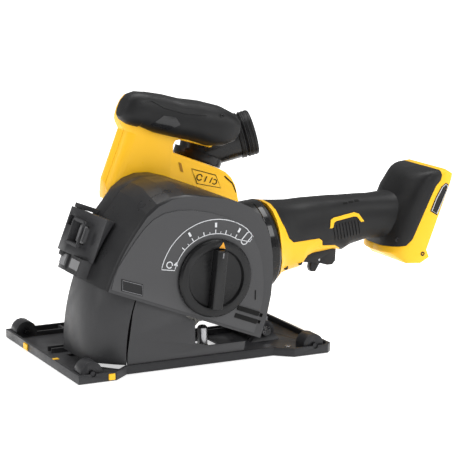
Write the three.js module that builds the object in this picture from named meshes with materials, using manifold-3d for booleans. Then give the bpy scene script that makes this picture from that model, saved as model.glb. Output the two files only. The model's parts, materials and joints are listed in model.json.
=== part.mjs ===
// A battery wall chaser: a plunge-cutting tool with two diamond discs side by side in a guard,
// on a shoe with four rollers. Millimetres, +Z up, +X towards the battery, -Y towards the dial.
// The origin is on the sole, straight below the plunge pivot and midway across the shoe.
import * as THREE from 'three';
import * as BufferGeometryUtils from 'three/addons/utils/BufferGeometryUtils.js';
import Module from 'manifold-3d';

const wasm = await Module();
wasm.setup();

// ---------- driving dimensions ----------
const GAP = 0.3;                     // running clearance between neighbouring pieces
const WALL = 3;                      // guard and housing wall
const PLUNGE = 21.35;                // degrees the guard frame leans back when raised
const TRAVEL = 18.2;                 // degrees of plunge, about 27 mm of cutting depth
const MOTOR_SLOPE = 5;               // degrees the motor axis rises to the rear when raised
const PIVOT_Z = 14;                  // plunge pivot above the sole

const SHOE = { front: -227, rear: 46, side: 101, plate: 3, rim: 8.5, rimWall: 3 };
const WAIST = { depth: 14, front: -172, rear: -14, run: 16 };
const ROLLER = { radius: 8, width: 11, axle: 2.5, z: 8.4, front: -212, rear: 26, side: 88, cover: 2 };

const DISC = { radius: 62.5, thickness: 2.4, hub: 11.4, gap: 35, outerY: -41 };
const SPINDLE = { u: -132, w: 14.5, radius: 11 };
const MOTOR_Y = 31;                  // plane of the motor, handle and battery foot

const GUARD = { radius: 211, near: -89, bend: -49, seam: -18, far: 4, lip: -5, top: 115 };
const LOWER = { radius: 202.5, near: -85.6, bend: -49, far: 0.6, faceRadius: 172, top: 24 };
const DIAL = { u: -101, w: 38, flange: 38.5, knob: 29.5, proud: 6 };
const DUCT = { near: 4.6, far: 62, top: 140, front: -197, rear: -50 };
const ELBOW = { u: -92, y: 48, radius: 22.5, seat: 26, bend: 15, rise: 35, swing: 20, reach: 38 };

const SHOULDER = 152;                // distance of the motor housing's front rim from the spindle
const HALF = 31;                     // split plane of the handle shells

// ---------- colours ----------
const YELLOW = 0xf7b51c;
const GUARD_GREY = 0x55565a;
const SHOE_GREY = 0x3c3d3f;
const RUBBER = 0x232324;
const BLACK = 0x1c1c1d;
const STEEL = 0x9a9c9f;
const ALLOY = 0x7d7f82;

const paint = (color, roughness, metalness) =>
  new THREE.MeshStandardMaterial({ color, roughness, metalness });
const yellowPlastic = paint(YELLOW, 0.45, 0);
const guardMetal = paint(GUARD_GREY, 0.5, 0.3);
const shoeMetal = paint(SHOE_GREY, 0.5, 0.3);
const rubber = paint(RUBBER, 0.8, 0);
const blackPlastic = paint(BLACK, 0.5, 0);
const steel = paint(STEEL, 0.35, 1);
const alloy = paint(ALLOY, 0.45, 0.9);
const copper = paint(0xb06a3a, 0.4, 0.9);
const diamond = paint(0xb9b6ae, 0.6, 0.7);

// ---------- solids ----------
const rad = THREE.MathUtils.degToRad;

function toSolid(geometry) {
  const flat = geometry.index ? geometry.toNonIndexed() : geometry.clone();
  flat.deleteAttribute('normal');
  flat.deleteAttribute('uv');
  const merged = BufferGeometryUtils.mergeVertices(flat, 1e-4);
  const mesh = new wasm.Mesh({
    numProp: 3,
    vertProperties: Float32Array.from(merged.attributes.position.array),
    triVerts: Uint32Array.from(merged.index.array),
  });
  mesh.merge();
  return new wasm.Manifold(mesh);
}

function toGeometry(solid) {
  const mesh = solid.getMesh();
  const geometry = new THREE.BufferGeometry();
  geometry.setAttribute('position', new THREE.BufferAttribute(mesh.vertProperties.slice(), 3));
  geometry.setIndex(new THREE.BufferAttribute(mesh.triVerts.slice(), 1));
  geometry.computeVertexNormals();
  return geometry;
}

const join = (...solids) => solids.reduce((all, one) => all.add(one));
const cut = (solid, ...tools) => tools.reduce((rest, tool) => rest.subtract(tool), solid);

const largest = (solid) => solid.decompose().sort((a, b) => b.volume() - a.volume())[0];

// a point list as a closed shape
const shapeOf = (points) => new THREE.Shape(points.map(([a, b]) => new THREE.Vector2(a, b)));

// an outline in X and Z, drawn out along Y from y0 to y1
function slab(points, y0, y1, bevel = 0) {
  const shape = Array.isArray(points) ? shapeOf(points) : points;
  const geometry = new THREE.ExtrudeGeometry(shape, {
    depth: y1 - y0 - 2 * bevel, curveSegments: 10, bevelEnabled: bevel > 0,
    bevelThickness: bevel, bevelSize: bevel, bevelOffset: -bevel, bevelSegments: 2,
  });
  return toSolid(geometry.rotateX(Math.PI / 2).translate(0, y1 - bevel, 0));
}

// an outline in X and Y, drawn up along Z from z0 to z1
function plate(points, z0, z1) {
  const shape = Array.isArray(points) ? shapeOf(points) : points;
  const geometry = new THREE.ExtrudeGeometry(shape, { depth: z1 - z0, bevelEnabled: false });
  return toSolid(geometry.translate(0, 0, z0));
}

function box(x0, x1, y0, y1, z0, z1) {
  const geometry = new THREE.BoxGeometry(x1 - x0, y1 - y0, z1 - z0);
  return toSolid(geometry.translate((x0 + x1) / 2, (y0 + y1) / 2, (z0 + z1) / 2));
}

// a turned piece: [radius, height] points, about X, Y or Z, from the axis back to the axis
function turned(profile, axis, [x, y, z] = [0, 0, 0], segments = 32) {
  const points = shapeOf(profile).getPoints();
  if (THREE.ShapeUtils.area(points) < 0) points.reverse();
  const geometry = new THREE.LatheGeometry(points, segments);
  if (axis === 'X') geometry.rotateZ(-Math.PI / 2);
  if (axis === 'Z') geometry.rotateX(Math.PI / 2);
  return toSolid(geometry.translate(x, y, z));
}

function rod(radius, from, to, axis, at = [0, 0, 0], segments = 24) {
  return turned([[0, from], [radius, from], [radius, to], [0, to]], axis, at, segments);
}

function tube(outer, inner, from, to, axis, at = [0, 0, 0], segments = 32) {
  return turned([[inner, from], [outer, from], [outer, to], [inner, to], [inner, from]],
    axis, at, segments);
}

// a skin over rings of equally many points, closed by a fan at each end
function loft(rings) {
  const count = rings[0].length;
  const middle = (ring) => ring.reduce((sum, p) => sum.add(p), new THREE.Vector3())
    .divideScalar(count);
  const points = rings.flat().concat(middle(rings[0]), middle(rings.at(-1)));
  const first = points.length - 2;
  const faces = [];
  for (let i = 0; i < count; i++) {
    const j = (i + 1) % count;
    for (let r = 0; r < rings.length - 1; r++) {
      const a = r * count;
      const b = a + count;
      faces.push(a + i, a + j, b + j, a + i, b + j, b + i);
    }
    const last = (rings.length - 1) * count;
    faces.push(first, j, i, first + 1, last + i, last + j);
  }
  const geometry = new THREE.BufferGeometry();
  geometry.setAttribute('position',
    new THREE.Float32BufferAttribute(points.flatMap((p) => [p.x, p.y, p.z]), 3));
  geometry.setIndex(faces);
  const solid = toSolid(geometry);
  if (solid.volume() > 0) return solid;
  geometry.setIndex(faces.reverse());
  return toSolid(geometry);
}

// points of an arc, angles in degrees
function arc(x, y, radius, from, to, steps) {
  return Array.from({ length: steps + 1 }, (_, i) => {
    const angle = rad(from + (to - from) * i / steps);
    return [x + radius * Math.cos(angle), y + radius * Math.sin(angle)];
  });
}

// points of a quadratic curve, without its first point
function bend(from, control, to, steps) {
  const curve = new THREE.QuadraticBezierCurve(...[from, control, to]
    .map(([a, b]) => new THREE.Vector2(a, b)));
  return curve.getPoints(steps).slice(1).map((p) => [p.x, p.y]);
}

function add(group, name, solid, material) {
  const mesh = new THREE.Mesh(toGeometry(largest(solid)), material);
  mesh.name = name;
  group.add(mesh);
}

// ---------- groups ----------
const group = new THREE.Group();                 // stands on the sole
const tool = new THREE.Group();                  // guard frame: square to the sole when plunged
tool.position.set(0, 0, PIVOT_Z);
tool.rotation.y = rad(PLUNGE);
const motor = new THREE.Group();                 // X along the motor axis, from the spindle
motor.position.set(SPINDLE.u, 0, SPINDLE.w);
motor.rotation.y = -rad(PLUNGE + MOTOR_SLOPE);
tool.add(motor);
group.add(tool);

// ---------- shoe, rollers, pivot ----------
function shoeOutline(inset) {
  const { front, rear, side } = SHOE;
  const s = side - inset;
  const w = s - WAIST.depth;
  return [
    [front + inset, s], [front + inset, -s], [WAIST.front - WAIST.run, -s],
    [WAIST.front, -w], [WAIST.rear, -w], [WAIST.rear + WAIST.run, -s],
    [rear - 6 - inset / 2, -s], [rear - inset, -s + 6], [rear - inset, s],
  ];
}

const rollerPlaces = [
  ['front_near', ROLLER.front, -ROLLER.side], ['front_far', ROLLER.front, ROLLER.side],
  ['rear_near', ROLLER.rear, -ROLLER.side], ['rear_far', ROLLER.rear, ROLLER.side],
];

function rollerCover(x, y) {
  const outer = ROLLER.radius + 1.2 + ROLLER.cover;
  const half = ROLLER.width / 2 + 1 + ROLLER.cover;
  const round = [...arc(x, ROLLER.z, outer, 0, 180, 8), [x - outer, 0.5], [x + outer, 0.5]];
  return slab(round, y - half, y + half);
}

function rollerBay(x, y) {
  const inner = ROLLER.radius + 1.2;
  const half = ROLLER.width / 2 + 1;
  const round = [...arc(x, ROLLER.z, inner, 0, 180, 8), [x - inner, -5], [x + inner, -5]];
  const axle = rod(ROLLER.axle + GAP, y - half - 9, y + half + 9, 'Y', [x, 0, ROLLER.z], 12);
  return join(slab(round, y - half, y + half), axle);
}

function pivotEar(y0, y1) {
  const ear = [...arc(0, PIVOT_Z, 10, -20, 200, 10), [-17, SHOE.plate - 1], [17, SHOE.plate - 1]];
  return slab(ear, y0, y1);
}

const EARS = [[-42, -34], [22, 30]];

function shoe() {
  const tray = cut(plate(shoeOutline(0), 0, SHOE.rim),
    plate(shoeOutline(SHOE.rimWall), SHOE.plate, SHOE.rim + 5));
  const discSlot = plate([[-200, -2.4], [-200, -52], [-178, -78], [-46, -78], [-46, -2.4]], -5, 20);
  const gearWay = box(-158, -104, 4, 70, -5, 20);
  const postLand = box(-100, -66, -86, -56, 0, SHOE.plate);
  const barrelSlot = box(-14, 14, EARS[0][1] + 1, EARS[1][0] - 1, 2.2, 20);
  const lightening = [[-60, -4], [-112, -70], [-165, -122], [-208, -175]]
    .map(([x0, x1]) => box(x0, x1, 22, 74, -5, 20));
  const ribs = [-66, -117, -170].map((x) => box(x - 1.5, x + 1.5, 8, 97, 1, SHOE.rim - 1));
  const lengthRibs = [8, 18, 80].map((y) => box(-212, 20, y, y + 2.4, 1, SHOE.rim - 1));
  const base = cut(join(tray, ...ribs, ...lengthRibs), discSlot, barrelSlot, gearWay,
    ...lightening.slice(0, 1), box(-208, -70, 22, 74, 4, 20));
  const ears = EARS.map(([y0, y1]) => pivotEar(y0, y1));
  const covers = rollerPlaces.map(([, x, y]) => rollerCover(x, y));
  const pin = rod(5 + GAP, -90, 50, 'Y', [0, 0, PIVOT_Z]);
  const bays = rollerPlaces.map(([, x, y]) => rollerBay(x, y));
  const post = rod(5 + GAP, SHOE.plate - 2, 20, 'Z', [-84, -70, 0]);
  return cut(join(base, postLand, ...ears, ...covers), pin, post, ...bays);
}

add(group, 'base_shoe', shoe(), shoeMetal);
add(group, 'plunge_pivot_pin', rod(5, EARS[0][0] - 3, EARS[1][1] + 3, 'Y', [0, 0, PIVOT_Z]), steel);
for (const [name, x, y] of rollerPlaces) {
  const half = ROLLER.width / 2;
  const wheel = tube(ROLLER.radius, ROLLER.axle + GAP, -half, half, 'Y', [x, y, ROLLER.z], 24);
  add(group, `roller_${name}`, wheel, blackPlastic);
  add(group, `roller_axle_${name}`,
    rod(ROLLER.axle, -half - 6, half + 6, 'Y', [x, y, ROLLER.z], 12), steel);
}
add(group, 'depth_stop_post', turned([[0, 1.4], [5, 1.4], [5, 8], [6.5, 8], [6.5, 14], [5, 16],
  [5, 33], [3.5, 35], [0, 35]], 'Z', [-84, -70, 0], 16), steel);

// torsion spring that raises the tool, wound on the pivot pin
class Helix extends THREE.Curve {
  constructor(radius, pitch, turns) {
    super();
    Object.assign(this, { radius, pitch, turns });
  }

  getPoint(t, target = new THREE.Vector3()) {
    const angle = 2 * Math.PI * this.turns * t;
    return target.set(this.radius * Math.cos(angle), this.pitch * this.turns * t,
      this.radius * Math.sin(angle));
  }
}

function coil(radius, wire, pitch, turns, stepsPerTurn = 12) {
  const section = new THREE.Shape().absarc(0, 0, wire / 2, 0, 2 * Math.PI);
  const geometry = new THREE.ExtrudeGeometry(section, {
    extrudePath: new Helix(radius, pitch, turns), steps: turns * stepsPerTurn, curveSegments: 3,
  });
  return toSolid(geometry);
}

const plungeSpring = coil(8, 2, 3, 4);
add(group, 'plunge_spring', plungeSpring.translate([0, 6.5, PIVOT_Z]), steel);

// ---------- lower guard, fixed to the shoe ----------
// side outline about the pivot: radial top edge, round front, cut off level with the shoe
function sector(radius, bottom, topAngle, inner) {
  const low = Math.asin(bottom / radius) * 180 / Math.PI;
  const top = rad(topAngle);
  return [
    [-inner, bottom], [-inner * Math.cos(top), inner * Math.sin(top)],
    ...arc(0, 0, radius, 180 - topAngle, 180 - low, 12),
  ];
}

function sectorLoft(sections, bottom, topAngle, inner) {
  const rings = sections.map(([y, radius]) => sector(radius, bottom, topAngle, inner)
    .map(([x, z]) => new THREE.Vector3(x, y, z + PIVOT_Z)));
  return loft(rings);
}

function lowerGuard() {
  const L = LOWER;
  const rearRadius = 70;
  const skirt = SHOE.rim + GAP - PIVOT_Z;
  const round = [[L.far, L.radius], [L.bend, L.radius], [L.bend - 16, L.radius - 7],
    [L.near + 6, L.faceRadius + 8], [L.near, L.faceRadius]];
  const inside = [[L.far - WALL, L.radius - WALL], [L.bend, L.radius - WALL],
    [L.bend - 15, L.radius - 7 - WALL], [L.near - 1, L.faceRadius - 1]];
  const spindlePath = rod(158, -20, 20, 'Y', [0, 0, PIVOT_Z], 64);
  return cut(sectorLoft(round, skirt, L.top, rearRadius),
    sectorLoft(inside, skirt - 8, L.top + 6, rearRadius - 20),
    spindlePath);
}

function lowerSidePlate() {
  const L = LOWER;
  const skirt = SHOE.rim + GAP - PIVOT_Z;
  const panel = sector(L.faceRadius - 1.5, skirt, L.top, 46).map(([x, z]) => [x, z + PIVOT_Z]);
  const window = [[-99, 22], [-99, 47], [-40, 47], [-40, 18], [-84, 18]];
  const dialReach = Math.hypot(DIAL.u, DIAL.w);
  const lowest = Math.atan2(DIAL.w, -DIAL.u) * 180 / Math.PI + PLUNGE - TRAVEL;
  const way = 12;                                        // half width of the way for the dial's stem
  const wayEnd = arc(0, 0, dialReach, 180 - lowest, 180, 1)[0];
  const arcWay = slab([...arc(0, PIVOT_Z, dialReach - way, 180 - lowest, 130, 8),
    ...arc(0, PIVOT_Z, dialReach + way, 130, 180 - lowest, 8)], L.near - 5, L.near + 5);
  const roundEnd = rod(way, L.near - 5, L.near + 5, 'Y', [wayEnd[0], 0, wayEnd[1] + PIVOT_Z]);
  return cut(slab(panel, L.near, L.near + 2.4), slab(window, L.near - 5, L.near + 5), arcWay, roundEnd);
}

add(group, 'lower_guard', lowerGuard(), guardMetal);
add(group, 'lower_guard_side_plate', lowerSidePlate(), guardMetal);

// ---------- upper guard: back half on the tool, near half a door ----------
// side outline, shrunk by inset; corner is how far the front top corner is cut back
function hood(radius, corner, inset, bottom) {
  const R = radius - inset;
  const top = GUARD.top - inset;
  const lowAngle = 180 + Math.asin(-bottom / R) * 180 / Math.PI;
  const highAngle = 180 - 20 + corner / 8;
  const front = arc(0, 0, R, lowAngle, highAngle, 9);
  const start = front.at(-1);
  const rear = -30 - inset;
  return [
    ...front,
    ...bend(start, [start[0] + 8, top - corner * 0.55], [start[0] + 55, top - corner * 0.22], 5),
    ...bend([start[0] + 55, top - corner * 0.22], [-118, top], [-100, top], 2),
    ...bend([-100, top], [-66, top + 1], [-48 - inset, 78], 5),
    ...bend([-48 - inset, 78], [rear, 42], [rear, bottom], 4),
  ].reverse();
}

function hoodLoft(inset, bottom, yNear, yFar) {
  const G = GUARD;
  const ring = (y, radius, corner) => hood(radius, corner, inset, bottom)
    .map(([u, w]) => new THREE.Vector3(u, y, w));
  return loft([ring(yFar, G.radius, 0), ring(G.bend, G.radius - 1, 4), ring(-62, G.radius - 3, 12),
    ring(yNear + 2.5, G.radius - 6, 24), ring(yNear, G.radius - 8, 27)]);
}

const hoodOuter = hoodLoft(0, GUARD.lip, GUARD.near, GUARD.far);
const hoodInner = hoodLoft(WALL, GUARD.lip - 20, GUARD.near + WALL, GUARD.far - WALL);
const hoodShell = hoodOuter.subtract(hoodInner);
const HINGE = { u: -24, y: GUARD.seam, radius: 5, pin: 2, knuckles: [[0, 11], [11.3, 30], [30.3, 41]] };

const LATCH = { u: -219, y: 0, far: 5, near: -50, low: 14, high: 58, pin: 2.2, ear: 4.5 };

const knuckle = ([from, to]) => rod(HINGE.radius, from, to, 'Z', [HINGE.u, HINGE.y, 0], 20);
const hingeBore = rod(HINGE.pin + GAP / 2, -20, 60, 'Z', [HINGE.u, HINGE.y, 0], 16);

// a lug on the front of each half, just above the lip
function frontLug(y0, y1) {
  return box(-221, -205, y0, y1, -3, 14).subtract(rod(GUARD.radius - WALL, -90, 10, 'Y'));
}

function guardBack() {
  const half = hoodShell.subtract(box(-250, 20, -120, GUARD.seam, -30, 130));
  const nose = rod(21, -5, 10, 'Y', [SPINDLE.u, 0, SPINDLE.w]);
  const dustWay = box(-182, -150, -3, 10, 50, 88);
  const leaf = box(-34, -21, HINGE.y + 3, HINGE.y + 9, 0, 41);
  const knuckles = join(knuckle(HINGE.knuckles[0]), knuckle(HINGE.knuckles[2]))
    .subtract(box(-60, 0, -60, 60, 11, 30));
  const leaves = cut(leaf, box(-60, 0, -60, 60, 11, 30),
    rod(HINGE.radius + GAP, 11, 30.3, 'Z', [HINGE.u, HINGE.y, 0]));
  const seat = rod(28, GUARD.far - 1, GUARD.far + 1, 'Y', [SPINDLE.u, 0, SPINDLE.w]);
  return cut(join(half, leaves, knuckles, frontLug(GUARD.seam + 3, GUARD.far - 3), seat,
    latchEars()), nose, dustWay, hingeBore,
    rod(LATCH.pin + GAP / 2, 9.5, 80, 'Z', [LATCH.u, LATCH.y, 0], 12));
}

function guardCover() {
  const G = GUARD;
  const half = hoodShell.subtract(box(-250, 20, G.seam - GAP, 50, -30, 130));
  const leaf = box(-34, -21, HINGE.y - 9, HINGE.y - 3, 11.3, 30);
  const clearance = [HINGE.knuckles[0], HINGE.knuckles[2]].map(([from, to]) =>
    rod(HINGE.radius + GAP, from - 5, to + (to < 20 ? 0 : 5), 'Z', [HINGE.u, HINGE.y, 0], 20));
  const slots = [0, 1].map((i) => box(-58, -36, -100, -80, 8 + 7 * i, 11.5 + 7 * i)
    .subtract(box(-41, -30, -100, -80, 20, 30)));
  const dialSeat = rod(8 + GAP, -100, -80, 'Y', [DIAL.u, 0, DIAL.w]);
  const boss = tube(10.5, 8 + GAP, G.near + 1, G.near + 7, 'Y', [DIAL.u, 0, DIAL.w]);
  return cut(join(half, leaf, knuckle(HINGE.knuckles[1]), boss, frontLug(-48, G.seam - 3)),
    ...clearance, ...slots, dialSeat, hingeBore);
}

// arm that hangs the tool on the pivot pin
function pivotArm() {
  const barrel = rod(10, EARS[0][1] + 1.3, 5, 'Y');
  const web = slab([[-29.6, -3], [-29.6, 28], [-24, 28], [-6, 9], [6, 8], [8, -6], [-4, -9]], -8.4, 3.4);
  const rib = slab([[-14, -9], [-14, 13], [6, 13], [9, 4]], -27, -10);
  const ribClear = box(-40, -10.5, -40, -8.8, -20, 40);
  return join(barrel, web, rib.subtract(ribClear)).subtract(rod(5 + GAP, -90, 90, 'Y'));
}

add(tool, 'guard_back', guardBack(), guardMetal);
add(tool, 'pivot_arm', pivotArm(), alloy);
add(tool, 'guard_cover', guardCover(), guardMetal);
add(tool, 'guard_hinge_pin',
  turned([[0, -3], [2, -3], [2, 41], [3.6, 41.3], [3.6, 43], [0, 43]], 'Z', [HINGE.u, HINGE.y, 0], 16),
  steel);

// ---------- depth dial on the cover ----------
function depthDial() {
  const D = DIAL;
  const face = GUARD.near - GAP;
  const flange = turned([[0, face], [D.flange, face], [D.flange, face - 3.5], [D.flange - 2, face - 6],
    [D.knob, face - 6], [D.knob - 1.5, face - 3], [0, face - 3]], 'Y', [D.u, 0, D.w], 48);
  const grip = slab(shapeOf([[-5.5, -28.6], [5.5, -28.6], [5.5, 28.6], [-5.5, 28.6]]),
    face - 15, face - 2, 1.2);
  const tilt = -15;
  const barTurned = grip.rotate([0, tilt, 0]).translate([D.u, 0, D.w]);
  const stem = rod(8, face - 1, GUARD.near + 9, 'Y', [D.u, 0, D.w]);
  const bore = rod(2.2, GUARD.near, GUARD.near + 20, 'Y', [D.u, 0, D.w], 12);
  return join(flange, barTurned, stem).subtract(bore);
}

// stepped cam behind the dial: each step stops the plunge at another depth
function depthCam() {
  const steps = 7;
  const points = Array.from({ length: steps }, (_, i) =>
    arc(0, 0, 14 + 1.1 * i, 150 + i * 44, 150 + (i + 1) * 44, 3)).flat();
  const y = GUARD.near + 9 + GAP;
  return slab(points, y, y + 4).translate([DIAL.u, 0, DIAL.w])
    .subtract(rod(2.2, y - 5, y + 10, 'Y', [DIAL.u, 0, DIAL.w], 12));
}

add(tool, 'depth_dial', depthDial(), blackPlastic);
add(tool, 'depth_cam', depthCam(), steel);

function camScrew() {
  const seat = GUARD.near + 13 + 2 * GAP;
  return turned([[0, seat - 9], [2, seat - 9], [2, seat], [4.4, seat], [4.4, seat + 3], [0, seat + 3]],
    'Y', [DIAL.u, 0, DIAL.w], 16);
}

add(tool, 'depth_cam_screw', camScrew(), steel);

// ---------- latch that holds the cover shut ----------

function latchLever() {
  const L = LATCH;
  const lever = plate([[-200, L.near - 4], [-212, L.near - 4], [-225, -10], [-226, L.far],
    [-200, L.far]], L.low, L.high);
  const strip = rod(GUARD.radius + 1, -90, 40, 'Y', [0, 0, 0], 96);
  const window = box(-240, -216.5, -34, -12, 26, 46);
  const slot = box(-240, -220.5, -8, 2, 40, 50);
  const heelRoom = box(-213, -190, -20, 20, 0, 80);
  return cut(lever, strip, rod(L.pin + GAP / 2, 0, 70, 'Z', [L.u, L.y, 0], 12), window, slot, heelRoom);
}

function latchEars() {
  const { u, low, high, ear } = LATCH;
  const pair = join(box(u - 5, -195, -6, 3.5, low - GAP - ear, low - GAP),
    box(u - 5, -195, -6, 3.5, high + GAP, high + GAP + ear));
  return pair.subtract(rod(GUARD.radius - WALL / 2, -90, 40, 'Y', [0, 0, 0], 96));
}

add(tool, 'latch_lever', latchLever(), blackPlastic);
add(tool, 'latch_pin', rod(LATCH.pin, LATCH.low - 4, LATCH.high + 4, 'Z', [LATCH.u, LATCH.y, 0], 12),
  steel);
add(tool, 'latch_lock_slider', box(-223.5, -220.9, -7.5, -1.5, 41, 46), steel);

// ---------- cutting spindle, along Y in the guard frame ----------
const S = [SPINDLE.u, 0, SPINDLE.w];
const CROWN = { inner: 13, outer: 25, y: 41, thickness: 7, teeth: 24 };
const PINION = { radius: 8, teeth: 8, length: 10 };
const innerDiscY = DISC.outerY + DISC.gap;

const disc = (y) => tube(DISC.radius, DISC.hub, y, y + DISC.thickness, 'Y', S, 48);

// teeth standing on a ring: small wedges round the crown gear's face
function crownGear() {
  const { inner, outer, y, thickness, teeth } = CROWN;
  const ring = tube(outer, SPINDLE.radius - 1 + GAP, y, y + thickness, 'Y', [0, 0, 0], 32);
  const tooth = box(inner + 3, outer, -0.9, 0.9, -2, 1).rotate([-90, 0, 0]);
  const toothRing = Array.from({ length: teeth }, (_, i) =>
    tooth.rotate([0, 360 * i / teeth, 0]).translate([0, y + 0.5, 0]));
  return join(ring, ...toothRing).translate(S);
}

function spindle() {
  const r = SPINDLE.radius;
  return turned([[0, -62], [8, -62], [8, -52], [r, -52], [r, 15], [r - 1, 15], [r - 1, 58],
    [6, 58], [6, 66], [0, 66]], 'Y', S);
}

const flangeRing = (y0, y1, radius) =>
  tube(radius, SPINDLE.radius + GAP, y0, y1, 'Y', S, 28);

function clampNut() {
  const nut = rod(17, -61, -52 - GAP, 'Y', [0, 0, 0], 6);
  const collar = rod(20, -55, -52 - GAP, 'Y', [0, 0, 0], 28);
  return join(nut, collar).subtract(rod(8 + GAP, -70, -40, 'Y')).translate(S);
}

add(tool, 'spindle', spindle(), steel);
add(tool, 'inner_flange', flangeRing(innerDiscY + DISC.thickness + GAP, innerDiscY + 9, 20), steel);
add(tool, 'diamond_disc_inner', disc(innerDiscY), diamond);
add(tool, 'disc_spacer_wide', flangeRing(innerDiscY - 20, innerDiscY - GAP, 18), steel);
add(tool, 'disc_spacer_narrow',
  flangeRing(DISC.outerY + DISC.thickness + GAP, innerDiscY - 20 - GAP, 18), steel);
add(tool, 'diamond_disc_outer', disc(DISC.outerY), diamond);
add(tool, 'disc_spacer_end', flangeRing(-52, DISC.outerY - GAP, 18), steel);
add(tool, 'clamp_nut', clampNut(), steel);
add(tool, 'crown_gear', crownGear(), steel);
add(tool, 'spindle_bearing_front', tube(18.6, SPINDLE.radius + GAP, 6, 14, 'Y', S, 28), steel);
add(tool, 'spindle_bearing_rear', tube(14, 6 + GAP, 58 + GAP, 65, 'Y', S, 24), steel);

// ---------- gear case, along X of the motor group ----------
const caseRadius = 34;
const LOCK_OFFSET = -21;                                 // spindle lock, ahead of the spindle

function gearCase() {
  const barrel = rod(caseRadius, GUARD.far + 1.3, 57, 'Y', [0, 0, 0], 32);
  const throat = loft([[20, 30, 28], [95, 32, 30], [118, 45, 45], [130, 45, 45]]
    .map(([x, half, tall]) => arc(0, 0, 1, 0, 345, 23).map(([c, s]) =>
      new THREE.Vector3(x, MOTOR_Y + c * Math.min(half, 26.4 + Math.max(0, x - 90)), s * tall))));
  const body = join(barrel, cut(throat, box(-10, 112, -60, GUARD.far + 1.3, -80, 80),
    box(-10, 60, 57, 100, -80, 80)));
  const gearRoom = rod(28, 15, 70, 'Y', [0, 0, 0], 28);
  const nose = rod(19 + 0.05, 0, 16, 'Y', [0, 0, 0], 28);
  const shaftWay = rod(12, 0, 140, 'X', [0, MOTOR_Y, 0], 20);
  const fanRoom = rod(36, 108, 140, 'X', [0, MOTOR_Y, 0], 24);
  const bearingSeat = rod(13.05, 40, 52, 'X', [0, MOTOR_Y, 0], 24);
  return cut(body, gearRoom, nose, shaftWay, fanRoom, bearingSeat);
}

function gearCaseCover() {
  const plateRing = turned([[0, 57 + GAP], [caseRadius, 57 + GAP], [caseRadius, 61], [18, 68],
    [0, 68]], 'Y', [0, 0, 0], 32);
  const lockBore = rod(3 + GAP, 50, 80, 'Y', [LOCK_OFFSET, 0, 0], 16);
  return cut(plateRing, rod(14 + GAP, 50, 65.4, 'Y', [0, 0, 0], 24), rod(7, 60, 66.6, 'Y'), lockBore);
}

add(motor, 'gear_case', gearCase(), alloy);
add(motor, 'gear_case_cover', gearCaseCover(), alloy);

// ---------- rotor group, about the motor axis ----------
const axisX = [0, MOTOR_Y, 0];

function rotorShaft() {
  return turned([[0, 26.5], [4, 26.5], [4, 126], [6, 126], [6, 150], [13.5, 150], [13.5, 186],
    [4, 186], [4, 196], [0, 196]], 'X', axisX, 20);
}

function pinionGear() {
  const { radius, teeth, length } = PINION;
  const outline = Array.from({ length: teeth * 2 }, (_, i) => {
    const angle = Math.PI * (i + 0.5) / teeth;
    const r = i % 2 ? radius : radius - 3.2;
    return [r * Math.cos(angle), r * Math.sin(angle)];
  });
  const gear = slab(outline, 0, length).rotate([0, 0, -90]);
  return gear.translate([26.8, MOTOR_Y, 0]).subtract(rod(4.1, 0, 60, 'X', axisX, 20));
}

function coolingFan() {
  const hub = tube(11, 6.05, 112, 122, 'X', axisX, 20).add(tube(30, 6.05, 120, 122, 'X', axisX, 28));
  const blade = box(112, 121, -0.8, 0.8, 10, 29);
  const blades = Array.from({ length: 9 }, (_, i) =>
    blade.rotate([40 * i, 0, 0]).translate([0, MOTOR_Y, 0]));
  return join(hub, ...blades);
}

add(motor, 'rotor', rotorShaft(), steel);
add(motor, 'pinion_gear', pinionGear(), steel);
add(motor, 'cooling_fan', coolingFan().subtract(rod(6.05, 100, 130, 'X', axisX, 20)), blackPlastic);
add(motor, 'pinion_bearing', tube(13, 4.05, 40.2, 51.8, 'X', axisX, 24), steel);
add(motor, 'rotor_rear_bearing', tube(10, 4.05, 187, 194, 'X', axisX, 24), steel);
add(motor, 'stator', tube(25, 14.2, 153, 183, 'X', axisX, 24), copper);

// ---------- motor housing, handle and battery foot ----------
// rounded section across the motor axis at distance x
function section(x, top, bottom, half, inset, power = 0.8) {
  const mid = (top + bottom) / 2;
  const tall = (top - bottom) / 2 - inset;
  const bulge = (v) => Math.sign(v) * Math.abs(v) ** power;
  return arc(0, 0, 1, 0, 342, 19).map(([c, s]) =>
    new THREE.Vector3(x, MOTOR_Y + bulge(c) * (half - inset), mid + bulge(s) * tall));
}

// distance from the spindle, top, bottom and half width of the housing
const HANDLE = [
  [SHOULDER, 46, -40, 44], [160, 44, -35, 38], [172, 42, -33, 33], [186, 40, -32, 31],
  [194, 39.5, -23, 30], [204, 39, -20, 29], [228, 37, -20, 27], [240, 36, -23, 26],
  [250, 34.5, -19, 25], [270, 32.5, -16.5, 24.5], [286, 30.5, -18, 25], [300, 30, -24, 28], [322, 29, -24, 29],
];
const REAR = { low: [329, -33], high: [368, 44] };      // battery face, seen from the side
const FOOT_FRONT = [[284, -31], [291, -5], ...bend([291, -5], [303, 28], [319, 43], 3),
  ...bend([319, 43], [325, 50.5], [334, 51], 3)];
const FOOT_REAR = [[358, 51], REAR.high, REAR.low, [332, -42], [320, -47], [303, -44]];
const footHalf = 40;

// stations with others put evenly between them
function between(stations, steps) {
  const spans = stations.slice(1).flatMap((next, i) =>
    Array.from({ length: steps }, (_, k) => stations[i].map((v, j) => v + (next[j] - v) * k / steps)));
  return [...spans, stations.at(-1)];
}

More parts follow.
